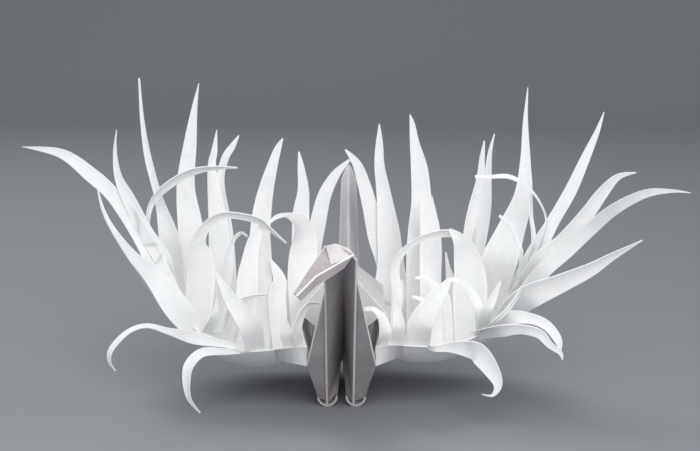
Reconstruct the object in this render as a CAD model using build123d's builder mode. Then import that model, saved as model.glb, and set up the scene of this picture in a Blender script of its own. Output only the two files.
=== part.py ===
from build123d import *
import math
import os

# A paper crane folded from one square sheet, whose wings are then cut into long curled blades.
# Millimetres. The crane faces -Y, its wings reach to -X and +X, and its two keels rest on z = 0.

# The sheet of paper
paper = 0.2
pressed_fold = 0.4

# The body: two keels, flared sides up to the wing hinges, and the hump between the wings
keel_half_length = 13.0
keel_outer = 4.8
keel_width = 3.8
hinge_out = 6.8
hinge_height = 11.0
hinge_half_length = 25.0
shoulder_out = 8.7
shoulder_height = 23.0
shoulder_half_length = 16.0
hump_height = 32.0
hump_half_length = 6.0
inner_ridge_half_length = 1.0
inner_half_length = 9.0

# The neck and the tail: creased channels that rise from the keels and taper
neck_lean = 46.0
neck_length = 51.0
neck_left = 3.0
neck_right_root = 2.4
neck_right_bend = 2.9
neck_root_depth = 14.0
neck_bend_depth = 2.4
tail_lean = 48.0
tail_length = 61.0
tail_shift = 1.4
tail_root_half_width = 2.9
tail_end_half_width = 1.6
tail_tip_half_width = 0.4
tail_root_depth = 14.0
tail_end_depth = 2.0
tail_point = 4.0

# The gussets: pockets of the body that the neck and the tail rise from, as distances along them
left_pocket = 30.0
right_pocket = 36.0
back_pocket = 30.0
pocket_lap = 0.7
inner_lap = 0.3

# The head, as steps from the end of the neck: far edge, crease and near edge of the open beak
crown = (-0.9, 0.7, 2.7)
beak_root = [(-2.8, 0.3, 2.6), (0.6, -1.5, -1.0), (2.2, -1.3, 1.2)]
beak_middle = [(-5.6, -2.7, -0.9), (-4.4, -4.2, -3.6), (-3.9, -4.7, -0.8)]
beak_tip = [(-8.5, -5.7, -5.1), (-7.0, -6.7, -6.1), (-7.9, -7.7, -5.2)]

# The wings: each sheet sags from its hinge like a trough and rises again further out
left_sag = 6.7
right_sag = 7.5
wing_sag_out = 15.0
hinge_cup = 0.4
wing_cup = 8.0
wing_cup_turn = 0.85
left_reach = 43.0
left_rise = 27.0
right_reach = 39.0
right_rise = 21.0
wing_end_slope = 1.3
wing_end_half_depth = 12.0
wing_spans = 8
wing_facets = 10

# The blades: flat facets between two stations, and the limit of a root's slant on the sheet
facets_per_bend = 2
steepest_root = 0.5
front = Vector(0, -1, 0)


def facet_pair(corner, beside, across, below):
    """Two flat facets that fill four corners, split along the diagonal from the first to the third."""
    return [
        Face(Wire.make_polygon([corner, beside, across])),
        Face(Wire.make_polygon([corner, across, below])),
    ]


def creased_sheet(points, normals, thickness):
    """A thin solid of flat facets on both sides of rows of points, split along the same diagonals."""
    over = [[p + n * thickness / 2 for p, n in zip(*row)] for row in zip(points, normals)]
    under = [[p - n * thickness / 2 for p, n in zip(*row)] for row in zip(points, normals)]
    rows = range(len(points) - 1)
    columns = range(len(points[0]) - 1)
    facets = []
    for side in (over, under):
        for i in rows:
            for j in columns:
                facets += facet_pair(side[i][j], side[i][j + 1], side[i + 1][j + 1], side[i + 1][j])
    for j in (0, -1):
        for i in rows:
            facets += facet_pair(over[i][j], under[i][j], under[i + 1][j], over[i + 1][j])
    for i in (0, -1):
        for j in columns:
            facets += facet_pair(over[i][j], under[i][j], under[i][j + 1], over[i][j + 1])
    return Solid(Shell(facets))


def wing_spine(side, sag, reach, rise):
    """The middle line of a wing, from its hinge down to its sag and up to its outer end."""
    return Spline(
        (side * hinge_out, 0, hinge_height),
        (side * wing_sag_out, 0, sag),
        (side * reach, 0, rise),
        tangents=[(side, 0, -1), (side, 0, wing_end_slope)],
        mode=Mode.PRIVATE,
    )


def wing_point(side, spine, station, across):
    """A point on a section of a wing, from -1 at the front rim to 1 at the back, and its normal."""
    along = station / wing_spans
    half_depth = hinge_half_length + (wing_end_half_depth - hinge_half_length) * along**2
    cup = hinge_cup + wing_cup * math.sin(math.pi * wing_cup_turn * along)
    radius = (half_depth**2 + cup**2) / (2 * cup)
    y = across * half_depth
    drop = math.sqrt(radius**2 - y**2)
    way = spine % along
    up = Vector(-side * way.Z, 0, side * way.X)
    back = Vector(0, 1, 0)
    return spine @ along + back * y + up * (radius - drop), (up * drop - back * y) / radius


def wing_sheet(side, spine):
    """A thin trough of flat facets, from the hinge outwards."""
    places = [side - 2 * side * i / wing_facets for i in range(wing_facets + 1)]
    stations = range(wing_spans + 1)
    grid = [[wing_point(side, spine, station, across) for across in places] for station in stations]
    points = [[point for point, normal in row] for row in grid]
    normals = [[normal for point, normal in row] for row in grid]
    return creased_sheet(points, normals, paper)


def wing_root(side, spine, along, across):
    """Where a blade leaves the wing, at a share of its length and depth, and the wing's normal there."""
    station = min(int(along * wing_spans), wing_spans - 1)
    part_way = along * wing_spans - station
    near, normal = wing_point(side, spine, station, across)
    far, far_normal = wing_point(side, spine, station + 1, across)
    return near * (1 - part_way) + far * part_way, normal * (1 - part_way) + far_normal * part_way


def blade(root, face, turn, tip_turn, stations):
    """A strip of flat facets that passes its stations, turned away from the front by some degrees."""
    places = [root, *[root + Vector(*station[:3]) for station in stations]]
    widths = [stations[0][3], *[station[3] for station in stations]]
    reached = [0]
    for near, far in zip(places, places[1:]):
        reached.append(reached[-1] + (far - near).length)
    line = Spline(*places, mode=Mode.PRIVATE)
    bends = len(stations)
    points = []
    normals = []
    for section in range(bends * facets_per_bend + 1):
        bend = min(section // facets_per_bend, bends - 1)
        part_way = section / facets_per_bend - bend
        share = (reached[bend] * (1 - part_way) + reached[bend + 1] * part_way) / reached[-1]
        way = line % share
        centre = line @ share
        half_width = (widths[bend] * (1 - part_way) + widths[bend + 1] * part_way) / 2
        angle = math.radians(turn + (tip_turn - turn) * (bend + part_way) / bends)
        level = way.cross(front).normalized()
        across = level * math.cos(angle) + way.cross(level) * math.sin(angle)
        slant = 0 if points else across.dot(face) / max(way.dot(face), steepest_root)
        edge = (across - way * slant) * half_width
        points.append([centre - edge, centre + edge])
        normals.append([across.cross(way)] * 2)
    return creased_sheet(points, normals, paper)


def folded(rows):
    """A pressed fold through rows of corners, with its walls square to the rows and columns."""
    last_row = len(rows) - 1
    last_column = len(rows[0]) - 1
    normals = []
    for i, row in enumerate(rows):
        normals.append([])
        for j in range(len(row)):
            along = rows[min(i + 1, last_row)][j] - rows[max(i - 1, 0)][j]
            across = row[min(j + 1, last_column)] - row[max(j - 1, 0)]
            normals[i].append(across.cross(along).normalized())
    return creased_sheet(rows, normals, pressed_fold)


# Each blade: its place along the wing from hinge to end, and across it from -1 at the front rim to 1 at
# the back, its turn at root and tip, and its stations: steps from the root along X, Y and Z, and its width
left_blades = [
    (0.6, -0.6, 0, 20, [(-4.5, -7, 8, 4.3), (-8, -5, 15, 4), (-12, -3, 22, 3.6), (-17, -2, 29, 3),
        (-21.5, -1, 33, 3), (-27.5, 1, 36.5, 2), (-36, 5, 38, 0.2)]),
    (0.8, -0.4, 20, 0, [(-3, -5.5, 14.5, 3.1), (-6, -7.5, 22, 2.8), (-8, -8.5, 27, 1.6),
        (-8.5, -9.5, 32, 0.8), (-8, -10.5, 36.5, 0.2)]),
    (0.56, -0.9, 20, 40, [(-8.5, -4, 5, 3.4), (-12.5, -4, 11, 3), (-16, -5, 16, 2.1),
        (-19.5, -6, 21, 1.2), (-21.5, -6, 25.5, 0.8), (-22.5, -6, 29.5, 0.3)]),
    (0.75, 0.5, -15, 0, [(-1, -11, 13, 4.6), (-3.5, -13, 22.5, 1.9), (-5, -14, 31, 1.5),
        (-6, -15, 39, 0.9), (-6.5, -15, 47.5, 0.4)]),
    (0.7, 0.75, 10, 0, [(-1, -6, 13, 5.5), (-2, -6, 23.5, 3.9), (-1.5, -6, 32.5, 2.8), (0, -6, 40, 1.3),
        (1, -6, 46, 0.2)]),
    (0.92, 0.2, 40, 60, [(1.5, -11, 12.5, 1.1), (2.5, -12, 16.5, 1.5), (5, -13, 20.5, 2.5),
        (10, -13, 23, 2.7), (15, -13, 24, 1.7), (19.5, -13, 24, 0.6)]),
    (0.55, 0.9, 20, 20, [(-2.5, 1, 14, 4.6), (-4, 3, 28, 2.1), (-3.5, 4, 32.5, 1.4),
        (-3, 5, 36.5, 0.5)]),
    (0.5, 0.9, -20, -20, [(-2.5, 1.5, 15, 4.2), (-3.5, 3.5, 26, 2.1), (-2.5, 4.5, 31.5, 1.8),
        (-1.5, 5.5, 34, 1.5), (0.5, 6.5, 36.5, 0.6)]),
    (0.58, -0.2, 15, 65, [(0.5, -6, 15.5, 6.1), (0.5, -8, 21, 3.6), (2.5, -9, 25, 2.2),
        (5.5, -10, 27, 2.1), (9, -10, 27.5, 2.2), (12.5, -10, 26, 2.6), (14.5, -10, 25, 1.9),
        (18.5, -10, 22, 0.7)]),
    (0.33, -0.5, 10, 20, [(1, -2, 16.5, 4.5), (1.5, -2, 21.5, 3.5), (2, -1, 26, 2.6), (4, 0, 29, 1.5)]),
    (0.25, 0, -25, -10, [(0.5, -2, 13.5, 3.5), (0, 0, 21, 3.4), (0.5, 0, 28, 2.5)]),
    (0.15, -0.1, 25, 20, [(-1, -0.5, 13, 4), (-0.5, -0.5, 17, 2.9), (-2.5, -0.5, 21.5, 0.3)]),
    (0.05, 0.3, 0, 60, [(-0.5, 2.5, 10.5, 5.2), (0, 2.5, 16.5, 6.2), (0.5, 1.5, 21.5, 5.9),
        (-0.5, -1.5, 25.5, 3.8), (-3, -4.5, 27, 1.7), (-5, -7.5, 27, 1.7), (-6.5, -10.5, 26, 1.2)]),
    (0.3, 0.9, -10, 0, [(0, 0.5, 16.5, 4.9), (0.5, 2.5, 23.5, 4.2), (1.5, 3.5, 28.5, 3.3),
        (3, 4.5, 34, 2.2), (4, 5.5, 37.5, 1.5), (5, 6.5, 39, 0.9)]),
    (0.05, 0.9, 15, 0, [(0, 1.5, 16, 4.3), (0, 3.5, 23.5, 3.7), (0.5, 4.5, 29, 2.6),
        (0, 5.5, 33.5, 1.6), (-0.5, 6.5, 37, 0.9)]),
    (0.03, 0.95, -15, 0, [(1.5, 2.5, 13.5, 4.1), (3, 3.5, 21.5, 3.6), (5, 4.5, 27.5, 3),
        (7, 5.5, 32, 2), (10, 6.5, 34.5, 1.1)]),
    (0.5, 0.4, 20, 60, [(2, -4.5, 14, 2.9), (2.5, -4.5, 20.5, 1.4), (4.5, -5.5, 22.5, 1.1),
        (6.5, -6.5, 22, 1)]),
    (0.42, -0.5, 20, 60, [(2.5, -4.5, 11.5, 2.9), (4.5, -5.5, 14, 1.4), (7.5, -5.5, 14.5, 0.8)]),
    (0.25, -0.98, 10, 0, [(-1, -4.5, 8, 4.3), (-4, -5.5, 13.5, 2.7), (-6, -5.5, 17, 1.3),
        (-7.5, -5.5, 18.5, 0.3)]),
    (0.55, -0.95, 0, 0, [(-0.5, -5, 3.5, 1.9), (0, -6, 8.5, 0.3)]),
    (0.09, -0.98, 0, 0, [(0, -2.5, 7.5, 2.5), (0, -2.5, 11.5, 0.3)]),
    (0.04, -0.98, 30, 60, [(0, -2.5, 7.5, 2.2), (1, -2.5, 11, 1.9), (2.5, -1.5, 13, 1.3),
        (4.5, -0.5, 12.5, 0.8)]),
    (0.5, -0.9, 20, 55, [(-6, -9.5, 2, 3), (-10, -12.5, 4.5, 1.5), (-14, -14.5, 5.5, 1),
        (-17.5, -15.5, 4.5, 1.2), (-20.5, -16.5, 1.5, 1.3), (-21, -16.5, -0.5, 1),
        (-20, -15.5, -2.5, 0.4)]),
    (0.48, -0.9, 10, 40, [(-4.5, -9, 0, 1.8), (-6.5, -11, -2, 2.1), (-7.5, -12, -5, 1.8),
        (-6.5, -12, -8.5, 1), (-5, -11, -11.5, 0.3)]),
]

right_blades = [
    (0.8, -0.2, 0, -15, [(6.5, -8.5, 12, 3.4), (11.5, -10.5, 17, 3.1), (16, -13.5, 21.5, 2.8),
        (20, -18.5, 26.5, 2.3), (25, -23.5, 29.5, 1.7), (29.5, -27.5, 30.5, 0.7),
        (32.5, -30.5, 30.5, 0.2)]),
    (0.82, 0.2, 15, 10, [(5, -13.5, 12.5, 3.3), (10, -15.5, 18, 3.1), (14.5, -17.5, 23.5, 3.1),
        (17.5, -18.5, 28, 2.6), (20.5, -19.5, 31, 1.4), (23.5, -20.5, 32, 0.2)]),
    (0.9, 0.4, -10, 0, [(3.5, -10, 10.5, 3.7), (7.5, -10, 18, 2.7), (11, -9, 24, 2.6), (14, -8, 31, 2),
        (16.5, -7, 36, 1.1), (18, -6, 40, 0.2)]),
    (0.75, -0.5, 15, 25, [(5, -9, 7.5, 5.8), (11.5, -11, 10.5, 4.4), (17, -12, 14, 3.2),
        (22, -13, 17, 1.8), (27.5, -15, 20.5, 0.2)]),
    (0.7, 0.6, -15, 0, [(3.5, -11, 12, 7.6), (5.5, -11, 19, 5.9), (8, -10, 26, 3.9), (8.5, -9, 34, 2.2),
        (8.5, -8, 41.5, 1.1), (9.5, -7, 48.5, 0.2)]),
    (0.95, 0.2, 55, 60, [(3, -10.5, 13, 1), (3.5, -11.5, 17.5, 0.6), (2, -12.5, 22, 0.6),
        (0, -12.5, 25, 1), (-4, -12.5, 26.5, 1.4), (-8, -12.5, 27, 1.1), (-11, -12.5, 27, 1)]),
    (0.85, 0, 45, 45, [(1, -12, 14, 1.1), (0, -12, 17.5, 1.1), (-1.5, -12, 20.5, 1),
        (-3.5, -12, 22, 0.7)]),
    (0.9, 0.3, 40, 40, [(2.5, -9.5, 13, 1.3), (2.5, -10.5, 20, 1), (2.5, -10.5, 25, 0.4)]),
    (0.58, 0.9, 15, 10, [(4, 1.5, 13, 2.9), (5, 3.5, 19.5, 2.6), (6, 4.5, 26, 1.9), (7, 5.5, 30.5, 1.2),
        (7.5, 6.5, 34.5, 0.3)]),
    (0.62, 0.9, -15, -10, [(5, 2, 12.5, 3.4), (6.5, 4, 20, 2.6), (7, 5, 26.5, 1.7), (7.5, 6, 31.5, 1),
        (8.5, 7, 35.5, 0.3)]),
    (0.3, 0.6, 10, 0, [(0.5, -1.5, 16, 7.8), (0.5, -0.5, 23.5, 6.9), (0, 0.5, 29, 4.5),
        (-0.5, 1.5, 35.5, 3.7), (-1, 2.5, 41.5, 2.1), (-2, 3.5, 45, 1.2), (-2.5, 3.5, 47, 0.6)]),
    (0.34, 0.1, -5, -5, [(0, 1.5, 17.5, 4.6), (0, 2.5, 24.5, 4.4), (-0.5, 2.5, 29.5, 3.6),
        (-1, 2.5, 33, 2.8)]),
    (0.12, 0.9, -10, 0, [(-0.5, 2.5, 12.5, 6), (-1, 3.5, 19.5, 5.1), (-2, 4.5, 27.5, 3.3),
        (-3, 5.5, 34, 2.3), (-3.5, 6.5, 38.5, 1.7), (-3.5, 7.5, 43, 0.6)]),
    (0.06, 0.9, 10, 0, [(0.5, 3.5, 11, 4), (-1.5, 4.5, 18.5, 4), (-3, 5.5, 24.5, 3.4),
        (-4.5, 6.5, 30, 2.8), (-6, 7.5, 34.5, 2), (-8.5, 8.5, 37, 0.9)]),
    (0.12, 0, 10, 55, [(1, -2, 11.5, 2.4), (0.5, -3, 17.5, 2), (1.5, -4, 21, 1.8), (4.5, -5, 24, 1.6),
        (7.5, -6, 25.5, 1.9), (11, -6, 26, 2.8), (13.5, -6, 25.5, 2.1)]),
    (0.55, -0.2, -20, 0, [(0.5, -2, 10.5, 7.2), (0, -3, 16, 6.7), (-0.5, -4, 20.5, 5.1),
        (-2.5, -5, 24, 2.8), (-4, -5, 25.5, 0.6)]),
    (0.45, 0.2, 25, 20, [(0, -2.5, 13.5, 2), (0, -2.5, 17.5, 1.1), (-0.5, -2.5, 21, 0.3)]),
    (0.42, -0.2, 20, 55, [(-1, -1.5, 12, 4.2), (-2.5, -1.5, 15, 2.6), (-4.5, -1.5, 16.5, 1.3),
        (-6, -1.5, 17, 0.8)]),
    (0.36, -0.4, 20, 55, [(-0.5, -0.5, 10, 3.3), (-2.5, -0.5, 12.5, 1.4), (-4.5, -0.5, 13, 0.8)]),
    (0.25, -0.95, -10, 0, [(0, -4, 7.5, 4.9), (2, -4, 12, 3.7), (4, -3, 14.5, 2.3), (6, -2, 16, 0.8)]),
    (0.62, -0.8, 30, 50, [(1, -6, 6, 2.4), (0, -6, 9.5, 2.4), (-2.5, -6, 11.5, 1.7),
        (-4.5, -6, 12.5, 0.8)]),
    (0.12, -0.95, 0, 0, [(-0.5, -3.5, 8, 2.6), (-1, -3.5, 12, 1.4), (-1, -3.5, 15.5, 0.3)]),
    (0.04, -0.98, 30, 60, [(0, -2.5, 6.5, 2.9), (-0.5, -2.5, 9.5, 2.2), (-2, -1.5, 11, 1.3),
        (-4, -0.5, 11.5, 1.2), (-5, 0.5, 10.5, 0.8)]),
    (0.66, -0.85, 20, 20, [(2, -6.5, 4.5, 2), (3.5, -7.5, 7.5, 1.7), (4.5, -7.5, 11, 0.4)]),
    (0.6, -0.95, 40, 50, [(5.5, -6.5, 3, 1.3), (8, -7.5, 5, 1.4), (10, -6.5, 7.5, 1.1),
        (11, -5.5, 10, 0.5)]),
    (0.5, -0.95, 40, 30, [(2, -7.5, -0.5, 2.9), (5.5, -10.5, -1, 4.1), (7.5, -12.5, -4, 3.2),
        (8.5, -13.5, -6.5, 1.8), (7.5, -13.5, -9, 0.7), (5.5, -12.5, -8.5, 0.2)]),
    (0.66, -0.85, -20, -10, [(6, -9.5, 4, 2.9), (10, -12.5, 4.5, 2.2), (13, -14.5, 3.5, 2),
        (15, -15.5, 1, 1.7), (15.5, -15.5, -1, 0.6)]),
    (0.6, -0.95, 20, 10, [(6.5, -7.5, 1, 2.9), (10.5, -10.5, 2.5, 2.2), (14, -12.5, 1.5, 2),
        (16.5, -13.5, 0, 1.4), (18.5, -13.5, -2, 1), (18.5, -13.5, -3.5, 0.2)]),
]

# The body is one bent strip seen from the front, cut to its outline seen from the side
with BuildPart() as body:
    with BuildSketch(Plane.XZ):
        with BuildLine():
            Polyline(
                (-keel_outer, paper),
                (-hinge_out, hinge_height),
                (-shoulder_out, shoulder_height),
                (0, hump_height),
                (shoulder_out, shoulder_height),
                (hinge_out, hinge_height),
                (keel_outer, paper),
            )
        trace(line_width=paper)
    extrude(amount=hinge_half_length, both=True)
    with BuildSketch(Plane.YZ):
        Polygon(
            (-keel_half_length, 0),
            (keel_half_length, 0),
            (hinge_half_length, hinge_height),
            (shoulder_half_length, shoulder_height),
            (hump_half_length, hump_height + paper),
            (-hump_half_length, hump_height + paper),
            (-shoulder_half_length, shoulder_height),
            (-hinge_half_length, hinge_height),
            align=None,
        )
    extrude(amount=shoulder_out + paper, both=True, mode=Mode.INTERSECT)
    for side in (-1, 1):
        with Locations((side * (keel_outer - keel_width / 2), 0, 0)):
            Box(keel_width, 2 * keel_half_length, pressed_fold, align=(Align.CENTER, Align.CENTER, Align.MIN))

neck_foot = Vector(0, -keel_half_length + pressed_fold, pressed_fold)
neck_way = Vector(0, -math.sin(math.radians(neck_lean)), math.cos(math.radians(neck_lean)))
neck_up = Vector(1, 0, 0).cross(-neck_way)
neck_end = neck_foot + neck_way * neck_length
neck_corners = []
for origin, right, depth in (
    (neck_foot, neck_right_root, neck_root_depth),
    (neck_end, neck_right_bend, neck_bend_depth),
):
    neck_corners.append([origin - Vector(neck_left, 0, 0), origin + neck_up * depth, origin + Vector(right, 0, 0)])
with BuildPart() as neck:
    add(folded(neck_corners))

# The head: a crown that folds over the end of the neck, and the beak as an open channel
with BuildPart() as beak:
    beak_corners = [[neck_end + Vector(*corner) for corner in row] for row in (beak_root, beak_middle, beak_tip)]
    far, crease, near = beak_corners[0]
    add(folded([neck_corners[1], [far, neck_end + Vector(*crown), near]]))
    add(folded(beak_corners))

tail_foot = Vector(tail_shift, keel_half_length - pressed_fold, pressed_fold)
tail_way = Vector(0, math.sin(math.radians(tail_lean)), math.cos(math.radians(tail_lean)))
tail_up = Vector(1, 0, 0).cross(tail_way)
tail_corners = []
for distance, half_width, depth in (
    (0, tail_root_half_width, tail_root_depth),
    (tail_length - tail_point, tail_end_half_width, tail_end_depth),
    (tail_length, tail_tip_half_width, pressed_fold),
):
    origin = tail_foot + tail_way * distance
    side_step = Vector(half_width, 0, 0)
    tail_corners.append([origin - side_step, origin + tail_up * depth, origin + side_step])
with BuildPart() as tail:
    add(folded(tail_corners))

# The pockets beside the neck and the tail, and the inner layers that rise from the keels between them
with BuildPart() as layers:
    for side, edge, pocket in ((-1, 0, left_pocket), (1, 2, right_pocket)):
        keel_inner = side * (keel_outer - keel_width)
        borders = []
        for end, corners, way, length, distance in (
            (-1, neck_corners, neck_way, neck_length, pocket),
            (1, tail_corners, tail_way, tail_length - tail_point, back_pocket),
        ):
            low, ridge = corners[0][edge], corners[0][1]
            inward = (ridge - low).normalized()
            start = low + inward * pocket_lap + way * pressed_fold
            top = start + (corners[1][edge] - low) * (distance / length)
            outer_foot = Vector(side * keel_outer, end * keel_half_length, pressed_fold)
            outer_hinge = Vector(side * hinge_out, end * hinge_half_length, hinge_height)
            add(folded([[outer_foot, outer_hinge], [start, top]]))
            border = [low + (inward + way) * inner_lap, ridge + way * inner_lap]
            foot = Vector(keel_inner, end * inner_half_length, pressed_fold)
            borders.append([border, [foot, Vector(0, end * inner_ridge_half_length, ridge.Z)]])
        add(folded([*borders[0], *reversed(borders[1])]))


def cut_wing(side, sag, reach, rise, rows):
    """A wing's sheet with the blades that are cut from it."""
    spine = wing_spine(side, sag, reach, rise)
    blades = []
    for along, across, turn, tip_turn, stations in rows:
        root, face = wing_root(side, spine, along, across)
        blades.append(blade(root, face, turn, tip_turn, stations))
    return [wing_sheet(side, spine), *blades]


with BuildPart() as left_wing:
    add(cut_wing(-1, left_sag, left_reach, left_rise, left_blades))

with BuildPart() as right_wing:
    add(cut_wing(1, right_sag, right_reach, right_rise, right_blades))

with BuildPart() as paper_crane:
    add([body.part, neck.part, beak.part, tail.part, layers.part])
    add([left_wing.part, right_wing.part])

paper_crane.part.label = "paper_crane"
os.makedirs("parts", exist_ok=True)
export_step(paper_crane.part, "parts/paper_crane.step")
print("solids", len(paper_crane.solids()), "volume", round(paper_crane.part.volume))
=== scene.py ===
# %% [markdown]
# # A paper crane with cut wings
#
# The crane is one square of thin white paper. It was folded first, then each wing was cut into
# long blades and every blade was drawn over an edge so that it curls. Two keels under the body
# stand on the table, a creased neck leans forward to a bent beak, and a tail leans back.
# Sizes are written in millimetres and turned into metres where a mesh is made. The frame is the
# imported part's: +X to the right in the photograph, -Y towards the viewer, +Z up.

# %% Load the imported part
import bpy
import bmesh
import math
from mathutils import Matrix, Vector


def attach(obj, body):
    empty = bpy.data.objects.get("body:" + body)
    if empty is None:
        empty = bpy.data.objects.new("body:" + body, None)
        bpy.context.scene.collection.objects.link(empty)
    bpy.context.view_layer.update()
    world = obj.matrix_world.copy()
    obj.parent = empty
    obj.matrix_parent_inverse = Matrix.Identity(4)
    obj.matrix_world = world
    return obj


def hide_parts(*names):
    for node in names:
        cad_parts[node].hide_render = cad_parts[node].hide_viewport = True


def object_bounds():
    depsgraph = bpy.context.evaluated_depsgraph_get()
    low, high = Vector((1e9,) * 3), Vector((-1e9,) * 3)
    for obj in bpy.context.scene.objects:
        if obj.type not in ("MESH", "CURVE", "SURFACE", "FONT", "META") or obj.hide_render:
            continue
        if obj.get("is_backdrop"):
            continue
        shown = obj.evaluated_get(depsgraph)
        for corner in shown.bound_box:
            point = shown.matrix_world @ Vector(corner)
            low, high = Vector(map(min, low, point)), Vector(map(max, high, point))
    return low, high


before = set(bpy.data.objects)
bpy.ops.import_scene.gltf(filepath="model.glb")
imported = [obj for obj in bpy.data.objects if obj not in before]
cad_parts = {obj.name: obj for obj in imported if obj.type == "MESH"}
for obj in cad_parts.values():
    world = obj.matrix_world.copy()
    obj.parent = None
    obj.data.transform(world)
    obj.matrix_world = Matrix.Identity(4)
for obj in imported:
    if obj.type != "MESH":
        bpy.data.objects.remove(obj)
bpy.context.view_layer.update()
mm = 0.001

# %% [markdown]
# ## The sizes of the folds
#
# One layer of the sheet is about 0.1 mm thick. The model uses 0.2 mm for one layer and 0.4 mm
# for a pressed fold, which still looks like paper at this scale. The lengths below are the
# crane's own: keels, wing hinges, shoulders, hump, neck and tail. They could be typed in where
# they are used, but most are used in several places, and a named size is easy to change.

# %% Sizes in mm, degrees and shares
paper = 0.2
pressed_fold = 0.4
keel_half_length = 13.0
keel_outer = 4.8
keel_inner = 1.0
keel_round = 1.9
keel_side_height = keel_round + pressed_fold / 2
hinge_out = 6.8
hinge_height = 11.0
hinge_half_length = 25.0
shoulder_out = 8.7
shoulder_height = 20.0
shoulder_half_length = 16.0
hump_height = 28.5
hump_half_length = 6.0
neck_lean = 46.0
neck_length = 51.0
tail_lean = 48.0
tail_length = 61.0
tail_shift = 1.4
wing_sag_out = 15.0
hinge_cup = 3.6
wing_cup = 40.0
wing_cup_reach = 0.25
wing_end_slope = 1.7
wing_end_half_depth = 12.0
wings = {
    "left": {"side": -1, "reach": 43.0, "rise": 27.0, "sag": 6.7},
    "right": {"side": 1, "reach": 39.0, "rise": 21.0, "sag": 7.5},
}
print("wings reach", {name: wing["reach"] for name, wing in wings.items()}, "mm")

# %% [markdown]
# ## White paper
#
# Writing paper scatters light inside itself, so a lit edge glows and a shaded side never goes
# black. Its surface looks a little cloudy where the fibres lie thicker, and has a very fine
# tooth. A picture could be laid over the sheet, but it would need a flat layout of every piece
# and would blur close up. So one node group makes colour, roughness and height from the object's
# own coordinates, and every piece of the sheet shares the same stock. Along folds and cut edges
# the colour is mixed towards a lighter one, a painted highlight where edges catch the light,
# from an attribute that each mesh carries. The sheet shows in three tones: white where one layer
# stands free, and two darker copies of the same white paper that paint shade: a little darker on
# body, gussets, tail and head cap, greyest on neck, head, pockets, keels and inner layers.

# %% Helpers for node trees
def add_sockets(tree, way, **kinds):
    """Named inputs or outputs on a node group, in the order given."""
    for name, kind in kinds.items():
        face_name = name.replace("_", " ")
        tree.interface.new_socket(face_name, in_out=way, socket_type="NodeSocket" + kind)


def feed(tree, socket, value):
    """Puts a value on an input: a link where the value is a socket itself."""
    if isinstance(value, bpy.types.NodeSocket):
        tree.links.new(value, socket)
    else:
        socket.default_value = value


def add_node(tree, kind, *feeds, **values):
    """A new node: feeds go to its first inputs, values to settings and inputs by their name."""
    node = tree.nodes.new(kind)
    for name, value in values.items():
        if hasattr(node, name):
            setattr(node, name, value)
        else:
            feed(tree, node.inputs[name.replace("_", " ")], value)
    for socket, value in zip(node.inputs, feeds):
        feed(tree, socket, value)
    return node


print("helpers for node trees made")

# %% A node group for the paper stock
cloud_scale, fibre_scale, tooth_scale = 230.0, 2200.0, 5200.0
tooth_height = 0.35


def paper_stock():
    """Colour, roughness and height of paper, from a light, a cloudy and a painted highlight
    colour.
    """
    tree = bpy.data.node_groups.new("paper stock", "ShaderNodeTree")
    add_sockets(tree, "INPUT", Light="Color", Cloudy="Color", Fold_Color="Color", Fold="Float")
    add_sockets(tree, "OUTPUT", Color="Color", Roughness="Float", Height="Float")
    given = tree.nodes.new("NodeGroupInput").outputs
    place = tree.nodes.new("ShaderNodeTexCoord").outputs["Object"]
    noise = "ShaderNodeTexNoise"
    cloud = add_node(tree, noise, Vector=place, Scale=cloud_scale, Detail=3.0, Roughness=0.6)
    fibre = add_node(tree, noise, Vector=place, Scale=fibre_scale, Detail=4.0, Roughness=0.7)
    tooth = add_node(tree, "ShaderNodeTexVoronoi", Vector=place, Scale=tooth_scale)
    cloudy, fibrous = cloud.outputs["Fac"], fibre.outputs["Fac"]
    both = add_node(tree, "ShaderNodeMath", cloudy, fibrous, operation="MULTIPLY").outputs[0]
    spread = add_node(tree, "ShaderNodeMapRange", Value=both, From_Min=0.14, From_Max=0.36)
    tint = add_node(
        tree,
        "ShaderNodeMix",
        data_type="RGBA",
        Factor=spread.outputs["Result"],
        A=given["Cloudy"],
        B=given["Light"],
    )
    # Painted highlight: the colour is mixed towards the lighter highlight colour where the
    # attribute marks a crease or a cut edge.
    edge = add_node(
        tree,
        "ShaderNodeMix",
        data_type="RGBA",
        Factor=given["Fold"],
        A=tint.outputs["Result"],
        B=given["Fold Color"],
    )
    rough = add_node(tree, "ShaderNodeMapRange", Value=fibrous, To_Min=0.62, To_Max=0.88)
    teeth = tooth.outputs["Distance"]
    relief = add_node(
        tree, "ShaderNodeMath", teeth, tooth_height, fibrous, operation="MULTIPLY_ADD"
    )
    add_node(
        tree,
        "NodeGroupOutput",
        Color=edge.outputs["Result"],
        Roughness=rough.outputs["Result"],
        Height=relief.outputs[0],
    )
    return tree


stock = paper_stock()
print("paper stock has", len(stock.nodes), "nodes")

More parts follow.
